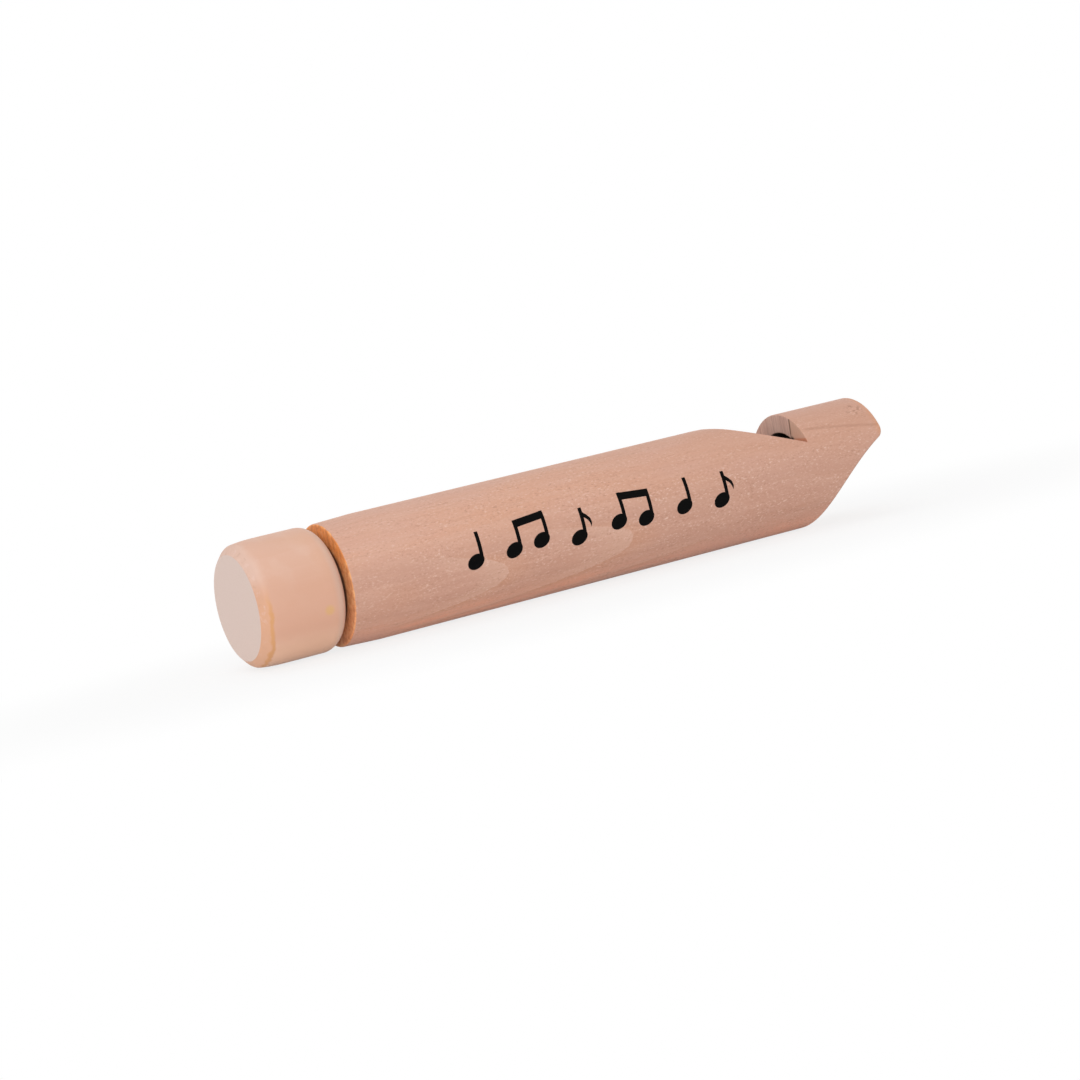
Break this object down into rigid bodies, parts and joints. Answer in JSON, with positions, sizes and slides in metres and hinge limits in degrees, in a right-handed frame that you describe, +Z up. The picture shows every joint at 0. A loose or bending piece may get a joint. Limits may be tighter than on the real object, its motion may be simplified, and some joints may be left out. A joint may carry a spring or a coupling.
{
  "type": "slide whistle",
  "caption": "Small turned wooden whistle with a beaked mouthpiece and a sounding window in its top, and a knobbed plunger that slides in the bore to raise and lower the note.",
  "frame": {"origin": "middle of the whistle's length and width, on the tube's lowest line, with the plunger pushed home", "axes": "+X along the bore towards the mouthpiece, +Z up through the sounding window"},
  "size_m": [0.1155, 0.02, 0.02],
  "materials": {
    "tube_wood": "fine sanded pinkish tan wood, unvarnished",
    "knob_wood": "paler fine sanded wood, unvarnished",
    "plug_wood": "plain sanded wood",
    "rod_wood": "plain straight grained dowel",
    "print_ink": "thin matt black ink printed on the wood",
    "felt": "dense grey wool felt",
    "plated_steel": "dull zinc plated steel"
  },
  "bodies": {
    "tube": {"body_tube": "tube_wood", "fipple_plug": "plug_wood", "guide_bush": "plug_wood"},
    "seal": {"piston_felt": "felt"},
    "plunger": {"plunger_rod": "rod_wood", "knob": "knob_wood", "backing_disc": "rod_wood", "front_washer": "plated_steel", "piston_screw": "plated_steel"}
  },
  "joints": [
    {"name": "plunger_slide", "type": "slide", "parent": "tube", "child": "seal", "axis": [-1, 0, 0], "range_m": [0, 0.0515]},
    {"name": "plunger_spin", "type": "hinge", "parent": "seal", "child": "plunger", "pos_m": [0, 0, 0.01], "axis": [1, 0, 0], "continuous": true}
  ]
}
